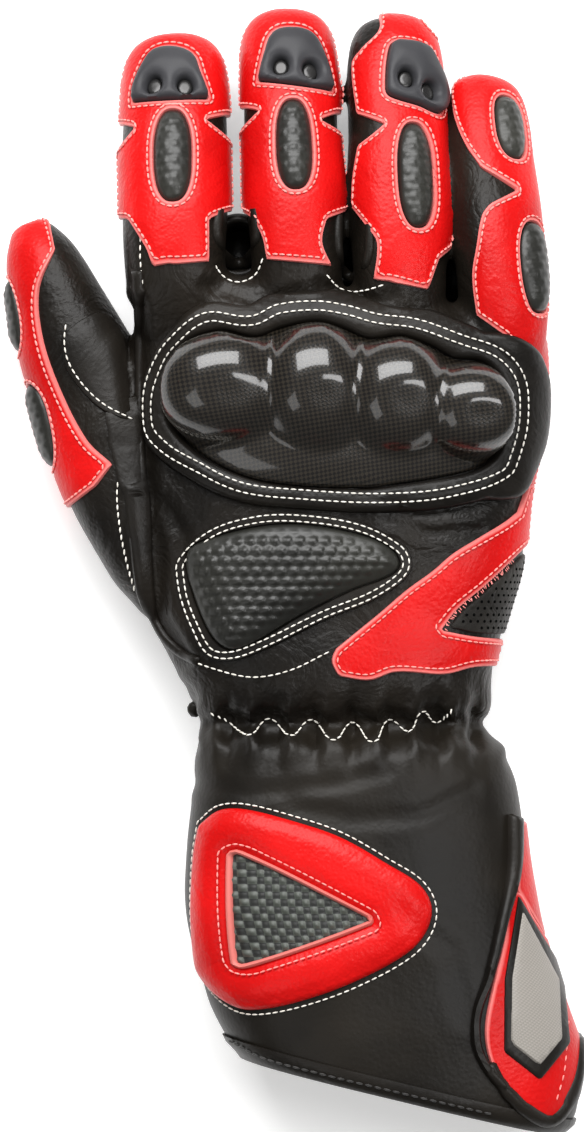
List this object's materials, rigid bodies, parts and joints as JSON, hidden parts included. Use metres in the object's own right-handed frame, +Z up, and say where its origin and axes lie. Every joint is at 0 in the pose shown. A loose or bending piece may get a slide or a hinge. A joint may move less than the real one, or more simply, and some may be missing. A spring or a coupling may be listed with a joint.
{
  "type": "motorcycle gauntlet glove",
  "caption": "Right-hand leather motorcycle gauntlet with red overlays, a bumped knuckle guard, finger sliders, padded panels, a gathered wrist and a long flared cuff, lying palm down",
  "frame": {"origin": "middle of the flat palm on the surface that the glove lies on", "axes": "+Y to the fingertips, -Y to the cuff's mouth, +X to the little finger, +Z up from the palm through the back of the hand"},
  "size_m": [0.1623, 0.3164, 0.0555],
  "materials": {
    "black_leather": "soft grained black leather, satin",
    "red_leather": "smooth coated red leather with paler cut edges",
    "embossed_pad": "black leather embossed with a basket pattern, padded",
    "slider_plastic": "matte dark grey moulded plastic",
    "carbon_guard": "fine black fibre weave under a deep clear coat",
    "weave": "coarse two-tone basket weave",
    "badge_grey": "plain grey badge fabric"
  },
  "bodies": {
    "root": {"hand_back": "black_leather", "palm": "black_leather", "index_finger": "black_leather", "middle_finger": "black_leather", "ring_finger": "black_leather", "little_finger": "black_leather", "thumb": "black_leather", "cuff": "black_leather", "thumb_patch": "black_leather", "knuckle_surround": "black_leather", "back_frame": "black_leather", "side_insert": "black_leather", "cuff_piping": "black_leather", "cuff_hem": "black_leather", "badge_rim": "black_leather", "index_middle_loop": "black_leather", "middle_ring_loop": "black_leather", "ring_little_loop": "black_leather", "index_overlay": "red_leather", "middle_overlay": "red_leather", "ring_overlay": "red_leather", "little_overlay": "red_leather", "thumb_overlay": "red_leather", "side_flash": "red_leather", "cuff_patch": "red_leather", "closure_strap": "red_leather", "closure_tab": "red_leather", "index_pad": "embossed_pad", "middle_pad": "embossed_pad", "ring_pad": "embossed_pad", "little_upper_pad": "embossed_pad", "little_lower_pad": "embossed_pad", "thumb_upper_pad": "embossed_pad", "thumb_lower_pad": "embossed_pad", "back_pad": "embossed_pad", "index_slider": "slider_plastic", "middle_slider": "slider_plastic", "ring_slider": "slider_plastic", "knuckle_guard": "carbon_guard", "cuff_weave": "weave", "badge": "badge_grey"}
  },
  "joints": []
}
